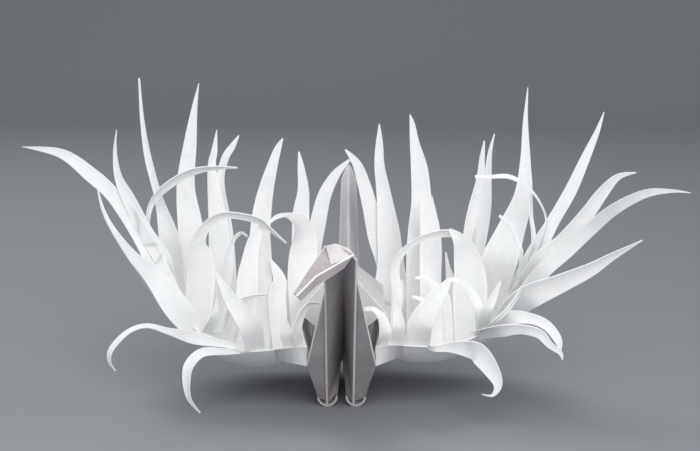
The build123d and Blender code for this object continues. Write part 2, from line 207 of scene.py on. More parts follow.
# %% The paper's materials
def paper_material(name, light, cloudy, edge_highlight, glow):
    """Paper that lets a little light through, with a painted highlight along its folds and edges.
    """
    material = bpy.data.materials.new(name)
    material.use_nodes = True
    tree = material.node_tree
    surface = tree.nodes["Principled BSDF"].inputs
    # This attribute marks creases and cut edges for the painted highlight.
    where = add_node(tree, "ShaderNodeAttribute", attribute_name="edge_highlight")
    sheet = add_node(
        tree,
        "ShaderNodeGroup",
        node_tree=stock,
        Light=(*light, 1),
        Cloudy=(*cloudy, 1),
        Fold_Color=(*edge_highlight, 1),
        Fold=where.outputs["Fac"],
    ).outputs
    bump = add_node(
        tree, "ShaderNodeBump", Strength=0.2, Distance=0.00005, Height=sheet["Height"]
    )
    for socket, value in {
        "Base Color": sheet["Color"],
        "Roughness": sheet["Roughness"],
        "Normal": bump.outputs["Normal"],
        "IOR": 1.45,
        "Specular IOR Level": 0.25,
        "Subsurface Weight": glow,
        "Subsurface Radius": (1.0, 0.97, 0.94),
        "Subsurface Scale": 0.0008,
    }.items():
        feed(tree, surface[socket], value)
    return material


# Painted shade: the two grey tones are darker copies of the same white paper, and their darkness
# paints the shade on neck, head, pockets, keels, body and tail. The third colour of each tone is a
# painted highlight for creases and edges.
tones = {
    "white_paper": [(0.93, 0.93, 0.92), (0.83, 0.84, 0.84), (0.95, 0.95, 0.94), 0.4],
    "painted_deep_shade_paper": [(0.50, 0.465, 0.475), (0.38, 0.35, 0.36), (0.88, 0.85, 0.85), 0.1],
    "painted_light_shade_paper": [(0.74, 0.715, 0.72), (0.64, 0.615, 0.62), (0.93, 0.91, 0.91), 0.2],
}
materials = {name: paper_material(name, *tone) for name, tone in tones.items()}
white_paper, painted_deep_shade_paper, painted_light_shade_paper = materials.values()
print("materials:", list(materials))

# %% [markdown]
# ## Sheets from rows of corners
#
# Every folded panel is a thin sheet with straight creases. It could be modelled by hand from a
# plane, but then each crease would have to be placed by eye. Here a helper takes rows of corners,
# divides each panel finely and joins the points into a skin of quads. A Solidify modifier gives
# the skin its thickness and is then worked into a plain mesh, so that a finished piece needs no
# modifier. The points on a crease or a cut edge carry a value for a painted highlight, so that
# the paper shows a light line there, as where an edge catches the light.

# %% Working the modifiers into a mesh
crease_angle = math.radians(30)


def plain_mesh(piece):
    """The piece with its modifiers worked into the mesh and its faces turned outwards."""
    graph = bpy.context.evaluated_depsgraph_get()
    mesh = bpy.data.meshes.new_from_object(piece.evaluated_get(graph), depsgraph=graph)
    name = piece.name
    bpy.data.objects.remove(piece)
    made = bpy.data.objects.new(name, mesh)
    bpy.context.collection.objects.link(made)
    build = bmesh.new()
    build.from_mesh(mesh)
    bmesh.ops.recalc_face_normals(build, faces=build.faces)
    build.to_mesh(mesh)
    build.free()
    mesh.polygons.foreach_set("use_smooth", [True] * len(mesh.polygons))
    mesh.set_sharp_from_angle(angle=crease_angle)
    return made


print("creases over", round(math.degrees(crease_angle)), "degrees stay sharp")

# %% What every finished piece carries
def finish_piece(piece, material):
    """Gives the piece its material, rides it on the root body and hides the node paper_crane."""
    piece.data.materials.clear()
    piece.data.materials.append(material)
    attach(piece, "root")
    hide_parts("paper_crane")
    print(piece.name, len(piece.data.polygons), "faces")


# %% Dividing panels
line_width = 0.22
widest_line_share = 0.2
line_clearance = 1.6
steps_between = 5


def shares_with_lines(length):
    """Shares along a panel's side, close together at both ends where the light lines are."""
    line = min(line_width / length, widest_line_share)
    first = line * line_clearance
    whole = 1 - 2 * first
    inner = [first + whole * i / steps_between for i in range(steps_between + 1)]
    return [0, line] + inner + [1 - line]


def divide(corners):
    """Points along a line of corners, each with its painted highlight: 1 on a corner, 0 between.
    """
    points = []
    for near, far in zip(corners, corners[1:]):
        for share in shares_with_lines((far - near).length):
            points.append((near.lerp(far, share), float(share == 0)))
    return points + [(corners[-1], 1.0)]


def fine_panel(rows):
    """A fine grid of (point, highlight) over rows of corners. Only lengthwise lines get the
    highlight.
    """
    across = [divide([Vector(corner) for corner in row]) for row in rows]
    grid = []
    for upper, lower in zip(across, across[1:]):
        for i in range(steps_between):
            share = i / steps_between
            grid.append([(a.lerp(b, share), edge_highlight) for (a, edge_highlight), (b, _) in zip(upper, lower)])
    return grid + [across[-1]]


def without_lines(grid):
    """The same grid where no crease or edge is lighter."""
    return [[(point, 0.0) for point, edge_highlight in row] for row in grid]


print("a light line is", line_width, "mm wide")

# %% A piece from one or more grids
weld_distance = 1e-7


def skin(build, layer, rows):
    """Adds a skin of quads over one grid of (point in mm, painted highlight value)."""
    grid = []
    for row in rows:
        grid.append([build.verts.new(point * mm) for point, _ in row])
        for vertex, (_, edge_highlight) in zip(grid[-1], row):
            vertex[layer] = edge_highlight
    for upper, lower in zip(grid, grid[1:]):
        for j in range(len(upper) - 1):
            build.faces.new((upper[j], upper[j + 1], lower[j + 1], lower[j]))


def sheet_piece(name, patches, thickness, material):
    """A finished sheet of paper from its grids. The thickness is in mm."""
    mesh = bpy.data.meshes.new(name)
    build = bmesh.new()
    # Each point carries its share of the painted highlight on creases and edges.
    layer = build.verts.layers.float.new("edge_highlight")
    for rows in patches:
        skin(build, layer, rows)
    bmesh.ops.remove_doubles(build, verts=build.verts, dist=weld_distance)
    build.to_mesh(mesh)
    build.free()
    piece = bpy.data.objects.new(name, mesh)
    bpy.context.collection.objects.link(piece)
    wall = piece.modifiers.new("paper", "SOLIDIFY")
    wall.thickness = thickness * mm
    wall.offset = 0
    finish_piece(plain_mesh(piece), material)


print("points closer than", weld_distance, "m become one")

# %% [markdown]
# ## The wing sheets
#
# Seen from the front, each wing drops from its hinge into a shallow sag and climbs again
# towards its end. Across its depth it is cupped like a palm: the cup is deepest a quarter of
# the way out, so that the front rim runs nearly straight while the middle sags below it.
# The sheet could be pulled into shape with a lattice, but the blades have to start exactly on it.
# So a rule gives every point: one smooth line is the profile and an arc is each section, and the
# blades ask the same rule for their roots.

# %% The middle line of a wing
def hermite(start, end, leave, arrive, t):
    """A point on a smooth curve between two ends with given directions."""
    return (
        start * (2 * t**3 - 3 * t**2 + 1)
        + leave * (t**3 - 2 * t**2 + t)
        + end * (3 * t**2 - 2 * t**3)
        + arrive * (t**3 - t**2)
    )


def wing_spine(wing, along):
    """A point on the middle line, from 0 at the hinge to 1 at the outer end."""
    side = wings[wing]["side"]
    hinge = Vector((side * hinge_out, 0, hinge_height))
    sag = Vector((side * wing_sag_out, 0, wings[wing]["sag"]))
    end = Vector((side * wings[wing]["reach"], 0, wings[wing]["rise"]))
    inner, outer = sag - hinge, end - sag
    whole = inner.length + outer.length
    a, b = inner.length / whole, outer.length / whole
    leave = Vector((side, 0, -1)).normalized() * whole
    arrive = Vector((side, 0, wing_end_slope)).normalized() * whole
    middle = (inner * (3 * b / a) + outer * (3 * a / b) - leave * b - arrive * a) / 2
    if along <= a:
        return hermite(hinge, sag, leave * a, middle * a, along / a)
    return hermite(sag, end, middle * b, arrive * b, (along - a) / b)


print("a fifth of the way out the left wing is at", [round(v, 1) for v in wing_spine("left", 0.2)])

# %% Any point of a wing
next_to = 0.001


def wing_point(wing, along, across):
    """A point on a wing, from -1 at the front rim to 1 at the back rim."""
    side = wings[wing]["side"]
    half_depth = hinge_half_length + (wing_end_half_depth - hinge_half_length) * along**2
    cup = hinge_cup + wing_cup * along * math.exp(-along / wing_cup_reach)
    radius = (half_depth**2 + cup**2) / (2 * cup)
    y = across * half_depth
    drop = math.sqrt(radius**2 - y**2)
    near = wing_spine(wing, max(along - next_to, 0))
    far = wing_spine(wing, min(along + next_to, 1))
    way = (far - near).normalized()
    lift = Vector((0, 0, 1)).lerp(Vector((-side * way.z, 0, side * way.x)), along)
    return wing_spine(wing, along) + Vector((0, y, 0)) + lift * (radius - drop)


print("left wing ends at", [round(v, 1) for v in wing_point("left", 1, 0)])

# %% The two wing sheets
wing_rows, wing_columns = 40, 36
rim = 0.988
corner_along, corner_across, corner_steps = 0.16, -0.7, 4


def wing_grid(wing):
    """A grid of (point, highlight) over a wing, with a painted highlight along both rims."""
    inner = [rim * (2 * j / wing_columns - 1) for j in range(1, wing_columns)]
    places = [-1, -rim, *inner, rim, 1]
    grid = []
    for i in range(wing_rows + 1):
        points = [wing_point(wing, i / wing_rows, across) for across in places]
        grid.append([(point, float(abs(across) == 1)) for point, across in zip(points, places)])
    return grid


def hinge_corner(wing):
    """The small folded corner between the front rim and the lower end of the hinge."""
    low = Vector((wings[wing]["side"] * hinge_out, -hinge_half_length, hinge_height))
    under = wing_point(wing, corner_along, corner_across)
    shares = [i / corner_steps for i in range(corner_steps + 1)]
    low_side = [(low.lerp(under, share), 0.0) for share in shares]
    return [low_side, [(wing_point(wing, corner_along * share, -1), 1.0) for share in shares]]


for wing in wings:
    patches = [wing_grid(wing), hinge_corner(wing)]
    sheet_piece(wing + "_wing_sheet", patches, paper, white_paper)

# %% [markdown]
# ## The cut blades
#
# A blade is a long strip that leaves the wing and follows its own curve. No two are alike, and no
# rule gives them, because they were cut and curled by hand. So each has a row of its own. A row
# says where the blade leaves the wing (its share along from hinge to end, and across from -1 at
# the front rim to 1 at the back), how far the strip is turned away from the viewer at its root
# and at its tip in degrees, and the stations that it passes: steps from the root in mm, and its
# width.

# %% The blades of the left wing
left_blades = [
    (0.6, -0.6, 0, 20, [(-3, -7, 8.5, 4.3), (-6.5, -5, 15.5, 4), (-10.5, -3, 22.5, 3.6),
        (-15.5, -2, 29.5, 3), (-20, -1, 33.5, 3), (-26, 1, 37.5, 2), (-34.5, 5, 38.5, 0.2)]),
    (0.72, -0.5, 0, 0, [(-1, -7.5, 13, 3.6), (-4.5, -6, 18.5, 3.2), (-8, -5.5, 25.5, 2.7),
        (-10, -5.5, 30, 1.6), (-10.5, -6, 35, 0.8), (-10, -7, 39.5, 0.2)]),
    (0.56, -0.9, 10, 40, [(-4.5, -3, 6.5, 5.3), (-9, -2, 12.5, 4.2), (-13, -4, 17, 2.3),
        (-16.5, -6, 22.5, 1.2), (-18.5, -6, 26.5, 0.8), (-19.5, -6, 30.5, 0.3)]),
    (0.75, 0.5, -15, 0, [(0, -11, 13.5, 4.6), (-2, -13, 23, 1.9), (-4, -14, 31.5, 1.5),
        (-5, -15, 39.5, 0.9), (-5.5, -15, 48, 0.4)]),
    (0.7, 0.75, 10, 0, [(1, -6, 14, 5.5), (0, -6, 24.5, 3.9), (1, -6, 33.5, 2.8),
        (2, -6, 41, 1.3), (3, -6, 46.5, 0.2)]),
    (0.92, 0.2, 40, 60, [(1.5, -11, 12.5, 1.1), (2.5, -12, 17, 1.5), (5.5, -13, 20.5, 2.5),
        (10.5, -13, 23.5, 2.7), (15.5, -13, 24.5, 1.7), (20, -13, 24.5, 0.6)]),
    (0.55, 0.9, 20, 20, [(0.5, 1, 15.5, 4.6), (-1, 3, 29, 2.1), (-0.5, 4, 33.5, 1.4),
        (0, 5, 38, 0.2)]),
    (0.5, 0.9, -20, -20, [(0, 1.5, 16, 4.2), (-1, 3.5, 27, 2.1), (0, 4.5, 32.5, 1.8),
        (1.5, 5.5, 35, 1.5), (3, 6.5, 37.5, 0.3)]),
    (0.58, -0.2, 15, 65, [(1.5, -6, 16, 6.1), (1, -8, 21.5, 3.6), (3, -9, 25.5, 2.2),
        (6, -10, 27.5, 2.1), (9.5, -10, 27.5, 2.2), (13.5, -10, 26.5, 2.6), (15.5, -10, 25, 1.9),
        (19, -10, 22, 0.7)]),
    (0.33, -0.5, 10, 20, [(1, -2, 16.5, 4.5), (1.5, -2, 21.5, 3.5), (2.5, -1, 26, 2.6),
        (4.5, 0, 29, 1.5)]),
    (0.25, 0, -25, -10, [(0.5, -2, 13.5, 3.5), (0.5, 0, 21, 3.4), (0.5, 0, 28, 2.5)]),
    (0.15, -0.1, 25, 20, [(-1, -0.5, 12.5, 4), (-0.5, -0.5, 17, 2.9), (-2.5, -0.5, 21.5, 0.3)]),
    (0.05, 0.3, 0, 60, [(-0.5, 2.5, 10, 5.2), (0, 2.5, 16, 6.2), (0.5, 1.5, 21, 5.9),
        (-0.5, -1.5, 25, 3.8), (-3, -4.5, 27, 1.3), (-5, -7.5, 27, 1.2), (-6.5, -10.5, 26, 0.6)]),
    (0.3, 0.9, -10, 0, [(0.5, 0.5, 15.5, 4.9), (1, 2.5, 22.5, 4.2), (2, 3.5, 28, 3.3),
        (3.5, 4.5, 33.5, 2.2), (4.5, 5.5, 36.5, 1.5), (5.5, 6.5, 38.5, 0.3)]),
    (0.05, 0.9, 15, 0, [(-0.5, 1.5, 13, 4.3), (-0.5, 3.5, 20.5, 3.7), (0, 4.5, 25.5, 2.6),
        (-0.5, 5.5, 30.5, 1.6), (-1, 6.5, 34, 0.4)]),
    (0.03, 0.95, -15, 0, [(1, 2.5, 10, 4.1), (2.5, 3.5, 18, 3.6), (4, 4.5, 24, 3),
        (6.5, 5.5, 28.5, 2), (9.5, 6.5, 31.5, 0.6)]),
    (0.5, 0.4, 20, 60, [(2.5, -4.5, 14.5, 2.9), (3.5, -4.5, 20.5, 1.4), (5.5, -5.5, 23, 1.1),
        (7, -6.5, 22.5, 1)]),
    (0.42, -0.5, 20, 60, [(3, -4.5, 11.5, 2.9), (5.5, -5.5, 14, 1.4), (8.5, -5.5, 14.5, 0.8)]),
    (0.25, -0.98, 10, 0, [(-1, -4.5, 6, 4.3), (-4.5, -5.5, 11.5, 2.7), (-6.5, -5.5, 15, 1.3),
        (-7.5, -5.5, 17, 0.3)]),
    (0.55, -0.95, 0, 0, [(2.5, -5, 5, 1.9), (3, -6, 9.5, 0.3)]),
    (0.09, -0.98, 0, 0, [(-0.5, -2.5, 3.5, 2.5), (-1, -2.5, 7.5, 0.3)]),
    (0.04, -0.98, 30, 60, [(-0.5, -2.5, 3.5, 2.2), (0.5, -2.5, 7, 1.9), (2, -1.5, 9, 1.3),
        (4, -0.5, 9, 0.8)]),
    (0.3, -0.97, 0, 55, [(-4, -2, 2, 1.4), (-10, -5, 4, 2.6), (-14.5, -9, 6, 1.4),
        (-18.5, -11, 7.5, 1), (-22, -12, 6.5, 1.1), (-25, -13, 3.5, 1.3), (-25.5, -13, 1, 1),
        (-24.5, -12, -1, 0.4)]),
    (0.32, -0.95, 20, 40, [(-3, -3.5, 1, 1.3), (-7.5, -6.5, 1.5, 1.9), (-10, -8.5, -0.5, 2.2),
        (-10.5, -9.5, -3.5, 1.9), (-10, -9.5, -7, 1.1), (-8, -8.5, -10, 0.3)]),
    (0.12, 0.7, 0, 0, [(0, -2.5, 6, 4.3), (-0.5, -2.5, 9, 3), (0.5, -2.5, 10, 0.4)]),
]
print("left blades:", len(left_blades))

# %% The blades of the right wing
right_blades = [
    (0.2, 0.7, 0, 0, [(0, -3, 5.5, 3.9), (-0.5, -3, 8.5, 1.9), (-0.5, -3, 10.5, 0.3)]),
    (0.8, -0.2, 0, -15, [(6, -8.5, 12, 3.4), (11, -10.5, 17, 3.1), (15.5, -13.5, 22, 2.8),
        (19.5, -18.5, 26.5, 2.3), (24.5, -23.5, 30, 1.7), (29, -27.5, 31, 0.7),
        (32, -30.5, 31, 0.2)]),
    (0.82, 0.2, 15, 10, [(4.5, -13.5, 13, 3.3), (9.5, -15.5, 18, 3.1), (14, -17.5, 23.5, 3.1),
        (17, -18.5, 28, 2.6), (20, -19.5, 31.5, 1.4), (23.5, -20.5, 32.5, 0.2)]),
    (0.9, 0.4, -10, 0, [(3, -10, 11, 3.7), (7, -10, 18.5, 2.7), (10.5, -9, 24.5, 2.6),
        (13.5, -8, 31, 2), (16, -7, 36.5, 1.1), (17.5, -6, 40.5, 0.2)]),
    (0.75, -0.5, 15, 25, [(4, -9, 8, 5.8), (10.5, -11, 11.5, 4.4), (16.5, -12, 14.5, 3.2),
        (21, -13, 17.5, 1.8), (26.5, -15, 21, 0.2)]),
    (0.7, 0.6, -15, 0, [(2, -11, 13, 7.6), (4.5, -11, 20, 5.9), (7, -10, 27, 3.9),
        (7.5, -9, 34.5, 2.2), (7.5, -8, 42.5, 1.1), (8, -7, 49.5, 0.2)]),
    (0.95, 0.2, 55, 60, [(2.5, -10.5, 13, 1), (3.5, -11.5, 18, 0.6), (2, -12.5, 22, 0.6),
        (-0.5, -12.5, 25, 1), (-4, -12.5, 27, 1.4), (-8, -12.5, 27, 1.1), (-11, -12.5, 27, 1)]),
    (0.85, 0, 45, 45, [(0.5, -12, 14, 1.1), (-0.5, -12, 17.5, 1.1), (-2, -12, 20.5, 1),
        (-4, -12, 22.5, 0.7)]),
    (0.9, 0.3, 40, 40, [(2.5, -9.5, 13.5, 1.3), (2, -10.5, 20, 1), (2, -10.5, 25.5, 0.4)]),
    (0.58, 0.9, 15, 10, [(1.5, 1.5, 15, 2.9), (2.5, 3.5, 21, 2.6), (4, 4.5, 27.5, 1.9),
        (4.5, 5.5, 32.5, 1.2), (5, 6.5, 36, 0.3)]),
    (0.62, 0.9, -15, -10, [(2.5, 2, 14.5, 3.4), (4, 4, 21.5, 2.6), (4.5, 5, 28, 1.7),
        (5, 6, 33, 1), (6, 7, 37, 0.3)]),
    (0.3, 0.6, 10, 0, [(0.5, -1.5, 15.5, 7.8), (0.5, -0.5, 23, 6.9), (0, 0.5, 29, 4.5),
        (-0.5, 1.5, 35.5, 3.7), (-1.5, 2.5, 41, 2.1), (-2, 3.5, 45, 1.2), (-2.5, 3.5, 47, 0.3)]),
    (0.34, 0.1, -5, -5, [(0, 1.5, 18, 4.6), (0, 2.5, 24.5, 4.4), (-0.5, 2.5, 29.5, 3.6),
        (-1, 2.5, 33, 2.8)]),
    (0.12, 0.9, -10, 0, [(0, 2.5, 9.5, 6), (-0.5, 3.5, 16.5, 5.1), (-1.5, 4.5, 24.5, 3.3),
        (-2.5, 5.5, 31, 2.3), (-2.5, 6.5, 35.5, 1.7), (-2.5, 7.5, 40, 0.3)]),
    (0.06, 0.9, 10, 0, [(1, 3.5, 7.5, 4), (-1, 4.5, 15, 4), (-2.5, 5.5, 21.5, 3.4),
        (-4, 6.5, 27, 2.8), (-5.5, 7.5, 31, 2), (-8, 8.5, 34, 0.4)]),
    (0.12, 0, 10, 55, [(1, -2, 11.5, 2.4), (0.5, -3, 17.5, 2), (1.5, -4, 21, 1.8),
        (4.5, -5, 24, 1.6), (7.5, -6, 25.5, 1.9), (11, -6, 26, 2.8), (13.5, -6, 25.5, 2.1)]),
    (0.55, -0.2, -20, 0, [(0, -2, 11, 7.2), (0, -3, 16, 6.7), (-1, -4, 21, 5.1),
        (-2.5, -5, 24, 2.8), (-4.5, -5, 26, 0.6)]),
    (0.45, 0.2, 25, 20, [(0, -2.5, 14, 2), (-0.5, -2.5, 17.5, 1.1), (-1, -2.5, 21, 0.3)]),
    (0.42, -0.2, 20, 55, [(-1, -1.5, 12, 4.2), (-2.5, -1.5, 15, 2.6), (-4.5, -1.5, 17, 1.3),
        (-6.5, -1.5, 17, 0.8)]),
    (0.36, -0.4, 20, 55, [(-0.5, -0.5, 10, 3.3), (-2.5, -0.5, 12.5, 1.4), (-5, -0.5, 13.5, 0.8)]),
    (0.25, -0.95, -10, 0, [(0, -4, 5.5, 4.9), (2.5, -4, 10, 3.7), (4.5, -3, 12.5, 2.3),
        (6, -2, 14.5, 0.8)]),
    (0.62, -0.8, 30, 50, [(-0.5, -6, 7, 2.4), (-2, -6, 10.5, 2.4), (-4.5, -6, 13, 1.7),
        (-6.5, -6, 13.5, 0.8)]),
    (0.12, -0.95, 0, 0, [(0.5, -3.5, 4.5, 2.6), (0, -3.5, 8.5, 1.4), (-0.5, -3.5, 12, 0.3)]),
    (0.04, -0.98, 30, 60, [(0.5, -2.5, 3, 2.9), (0, -2.5, 6, 2.2), (-1.5, -1.5, 7.5, 1.3),
        (-3, -0.5, 7.5, 1.2), (-4.5, 0.5, 7, 0.8)]),
    (0.66, -0.85, 20, 20, [(0, -6.5, 6, 2), (1, -7.5, 9, 1.7), (2.5, -7.5, 12.5, 0.4)]),
    (0.6, -0.95, 40, 50, [(3, -6.5, 4.5, 1.3), (5.5, -7.5, 7, 1.4), (7.5, -6.5, 9.5, 1.1),
        (8.5, -5.5, 11.5, 0.5)]),
    (0.3, -0.97, 0, 30, [(1, -3, 0.5, 1.2), (4, -4, 1, 2.1), (7, -5.5, 1, 3.3),
        (9.5, -8, 0.5, 4.2), (12, -10, -2.5, 3.2), (13, -11, -5, 1.8), (12, -11, -7, 0.7),
        (10, -10, -7, 0.2)]),
    (0.66, -0.85, -20, -10, [(4, -9.5, 5.5, 2.9), (8, -12.5, 6, 2.2), (11, -14.5, 5, 2),
        (13, -15.5, 2.5, 1.7), (13.5, -15.5, 0.5, 0.6)]),
    (0.6, -0.95, 20, 10, [(4, -7.5, 3, 2.9), (8, -10.5, 4, 2.2), (11.5, -12.5, 3.5, 2),
        (13.5, -13.5, 1.5, 1.4), (15.5, -13.5, 0, 1), (16, -13.5, -1.5, 0.2)]),
]
blades = {"left": left_blades, "right": right_blades}
print("blades:", {wing: len(rows) for wing, rows in blades.items()})

# %% [markdown]
# ## Strips by Geometry Nodes
#
# All blades are the same thing along different lines. Cutting and bending each one by hand would
# take fifty meshes, so a node tree makes them: it smooths each guide line, lays a slightly bowed
# section across it, scales the section by the line's radius and gives it thickness. Paper that is
# drawn over an edge bows across as well as along, which is why the section isn't flat. The line's
# tilt turns the strip. A root starts just above the sheet, and a blade cut from the rim itself
# leaves it with a wider root.

# %% Guide curves
root_lift, root_climb = 0.3, 1.2
rim_root_width, inner_root_width = 1.5, 0.85
rim_from, rim_until, upright_step = 0.9, 0.52, 6


def blade_points(wing, along, across, stations):
    """The places that a blade passes, with its width there. Upright rim blades root wider."""
    root = wing_point(wing, along, across)
    above = Vector((0, 0, root_lift + root_climb * along**2))
    at_rim = abs(across) >= rim_from and along < rim_until and stations[0][2] > upright_step
    root_width = stations[0][3] * (rim_root_width if at_rim else inner_root_width)
    passed = [(root + Vector(station[:3]), station[3]) for station in stations]
    return [(root + above, root_width), *passed]


def guide_curves(wing):
    """One curve object with a line for each blade: the radius is its width, the tilt its turn."""
    lines = bpy.data.curves.new(wing + "_wing_blades", "CURVE")
    lines.dimensions = "3D"
    for along, across, turn, tip_turn, stations in blades[wing]:
        points = blade_points(wing, along, across, stations)
        line = lines.splines.new("POLY")
        line.points.add(len(points) - 1)
        for i, (place, width) in enumerate(points):
            line.points[i].co = (*(place * mm), 1)
            line.points[i].radius = width * mm
            line.points[i].tilt = math.radians(turn + (tip_turn - turn) * i / (len(points) - 1))
    piece = bpy.data.objects.new(wing + "_wing_blades", lines)
    bpy.context.collection.objects.link(piece)
    return piece


print("roots start less than", root_lift + root_climb, "mm above the sheet")

# %% Node steps for the line and for its section
towards_viewer = (0, -1, 0)


def smooth_line(tree, lines, count):
    """Smooth evenly divided lines along which a strip without a turn faces the viewer."""
    smooth = add_node(tree, "GeometryNodeCurveSplineType", spline_type="CATMULL_ROM", Curve=lines)
    fine = add_node(
        tree, "GeometryNodeResampleCurve", Curve=smooth.outputs["Curve"], Count=count
    )
    tangent = tree.nodes.new("GeometryNodeInputTangent").outputs["Tangent"]
    level = add_node(
        tree, "ShaderNodeVectorMath", tangent, towards_viewer, operation="CROSS_PRODUCT"
    )
    lay = add_node(
        tree,
        "GeometryNodeSetCurveNormal",
        mode="FREE",
        Curve=fine.outputs["Curve"],
        Normal=level.outputs["Vector"],
    )
    return lay.outputs["Curve"]


def bowed_section(tree, bow):
    """A section one unit wide, bowed in its middle, with a painted highlight along both ends."""
    middle = add_node(tree, "ShaderNodeCombineXYZ", Y=bow).outputs["Vector"]
    arc = add_node(
        tree,
        "GeometryNodeCurveQuadraticBezier",
        Resolution=8,
        Start=(-0.5, 0, 0),
        Middle=middle,
        End=(0.5, 0, 0),
    )
    share = tree.nodes.new("GeometryNodeSplineParameter").outputs["Factor"]
    off_middle = add_node(tree, "ShaderNodeMath", share, 0.5, operation="SUBTRACT").outputs[0]
    apart = add_node(tree, "ShaderNodeMath", off_middle, operation="ABSOLUTE").outputs[0]
    # Near both cut edges the strip gets the painted highlight.
    near_edge = add_node(tree, "ShaderNodeMapRange", Value=apart, From_Min=0.40, From_Max=0.49)
    mark = add_node(
        tree,
        "GeometryNodeStoreNamedAttribute",
        data_type="FLOAT",
        domain="POINT",
        Geometry=arc.outputs["Curve"],
        Name="edge_highlight",
        Value=near_edge.outputs["Result"],
    )
    return mark.outputs["Geometry"]


print("a strip without a turn faces", towards_viewer)

# %% The node tree for paper strips
merge_distance = 0.000002


def thick_strip(tree, strip, thickness):
    """The strip with a second side at its thickness and walls between them."""
    extrude = "GeometryNodeExtrudeMesh"
    wall = add_node(tree, extrude, Mesh=strip, Individual=False, Offset_Scale=thickness)
    under = add_node(tree, "GeometryNodeFlipFaces", Mesh=strip)
    both = tree.nodes.new("GeometryNodeJoinGeometry")
    for side in (under, wall):
        tree.links.new(side.outputs["Mesh"], both.inputs["Geometry"])
    joined = both.outputs["Geometry"]
    closed = add_node(
        tree, "GeometryNodeMergeByDistance", Geometry=joined, Distance=merge_distance
    )
    return closed.outputs["Geometry"]


def strip_tree():
    """Lines in, thin bowed strips out, with a painted highlight along both cut edges."""
    tree = bpy.data.node_groups.new("paper strips", "GeometryNodeTree")
    add_sockets(tree, "INPUT", Geometry="Geometry", Points_Along="Int", Thickness="Float")
    add_sockets(tree, "INPUT", Bow="Float", Material="Material")
    add_sockets(tree, "OUTPUT", Geometry="Geometry")
    given = tree.nodes.new("NodeGroupInput").outputs
    line = smooth_line(tree, given["Geometry"], given["Points Along"])
    section = bowed_section(tree, given["Bow"])
    width = tree.nodes.new("GeometryNodeInputRadius").outputs["Radius"]
    sweep = add_node(
        tree, "GeometryNodeCurveToMesh", Curve=line, Profile_Curve=section, Scale=width
    )
    strip = thick_strip(tree, sweep.outputs["Mesh"], given["Thickness"])
    real = add_node(tree, "GeometryNodeRealizeInstances", Geometry=strip).outputs["Geometry"]
    finish = add_node(
        tree, "GeometryNodeSetMaterial", Geometry=real, Material=given["Material"]
    )
    add_node(tree, "NodeGroupOutput", Geometry=finish.outputs["Geometry"])
    return tree


strips = strip_tree()
strip_inputs = {
    item.name: item.identifier
    for item in strips.interface.items_tree
    if item.in_out == "INPUT"
}
print("strip inputs:", list(strip_inputs))

# %% Blades from their guides
points_along, bow = 44, 0.2
for wing in wings:
    guides = guide_curves(wing)
    sweep = guides.modifiers.new("strips", "NODES")
    sweep.node_group = strips
    sweep[strip_inputs["Points Along"]] = points_along
    sweep[strip_inputs["Thickness"]] = paper * mm
    sweep[strip_inputs["Bow"]] = bow
    sweep[strip_inputs["Material"]] = white_paper
    finish_piece(plain_mesh(guides), white_paper)

# %% [markdown]
# ## The body between the wings
#
# Seen from the front the body is a strip bent over a hump, whose flared sides come down to two
# pressed keels. Seen from the side each panel is cut to a kite, because the square's corners
# run off into the neck and the tail. A box could be cut to this form, but folded paper is flat
# between its creases, so it is enough to name four levels, each with a corner in front and
# behind, and to lay panels between them. Each keel is a soft U, because paper that was pressed
# once opens a little again.

# %% The levels of the body
keel_level = (keel_outer, keel_half_length, keel_side_height)
hinge_level = (hinge_out, hinge_half_length, hinge_height)
shoulder_level = (shoulder_out, shoulder_half_length, shoulder_height)
hump_level = (0, hump_half_length, hump_height)


def corner(side, end, out, half_length, height):
    """A corner of the body: side is -1 left or 1 right, end is -1 front, 0 middle or 1 back."""
    return Vector((side * out, end * half_length, height))


print("front left shoulder:", corner(-1, -1, *shoulder_level))

# %% Body panels
around = [(-1, keel_level), (-1, hinge_level), (-1, shoulder_level), (-1, hump_level)]
around += [(1, shoulder_level), (1, hinge_level), (1, keel_level)]
body_rows = [[corner(side, end, *level) for end in (-1, 0, 1)] for side, level in around]


def lifted(point):
    """The point raised as the wing's cup raises the ends of the hinge line."""
    below = (point.z - pressed_fold) / (hinge_height - pressed_fold)
    above = (shoulder_height - point.z) / (shoulder_height - hinge_height)
    share = max(min(below, above), 0)
    return point + Vector((0, 0, hinge_cup * share * (point.y / hinge_half_length) ** 2))


body_grid = [[(lifted(point), edge_highlight) for point, edge_highlight in row] for row in fine_panel(body_rows)]
# The body panels are painted in the lighter of the two shaded greys.
sheet_piece("body_panels", [body_grid], paper, painted_light_shade_paper)

# %% Keels
keel_steps = 12


def keel_section(side):
    """Points of the soft U from the outer panel round to the inner layer, from the front."""
    middle = (keel_outer + keel_inner) / 2
    half = (keel_outer - keel_inner) / 2
    points = []
    for i in range(keel_steps + 1):
        angle = math.pi * i / keel_steps
        out = middle + half * math.cos(angle)
        rise = keel_round * (1 - math.sin(angle))
        points.append((side * out, rise + pressed_fold / 2))
    return points


keel_patches = []
keel_ends = (-keel_half_length, 0, keel_half_length)
for side in (-1, 1):
    rows = [[(x, y, z) for y in keel_ends] for x, z in keel_section(side)]
    keel_patches.append(without_lines(fine_panel(rows)))
# The keels are painted in the darker shaded grey.
sheet_piece("keels", keel_patches, pressed_fold, painted_deep_shade_paper)

# %% [markdown]
# ## The neck, the head and the tail
#
# The neck is a narrow channel with its crease at the back. Its end was turned down and to the
# left, which makes the head: a small crown, and a beak that is still open along its upper side,
# so that its far layer shows above its near one. A small flap, a single layer, caps the head where
# the neck's end was turned; it is painted with less shade than the head. The tail is the same
# channel without the turn and runs to a blunt point. Both channels could be swept along a line,
# but two or three sections with a left edge, a crease and a right edge say the same in fewer
# numbers. The head is small and uneven, so its corners are given as steps from the end of the
# neck.

# %% Channels
right_way = Vector((1, 0, 0))


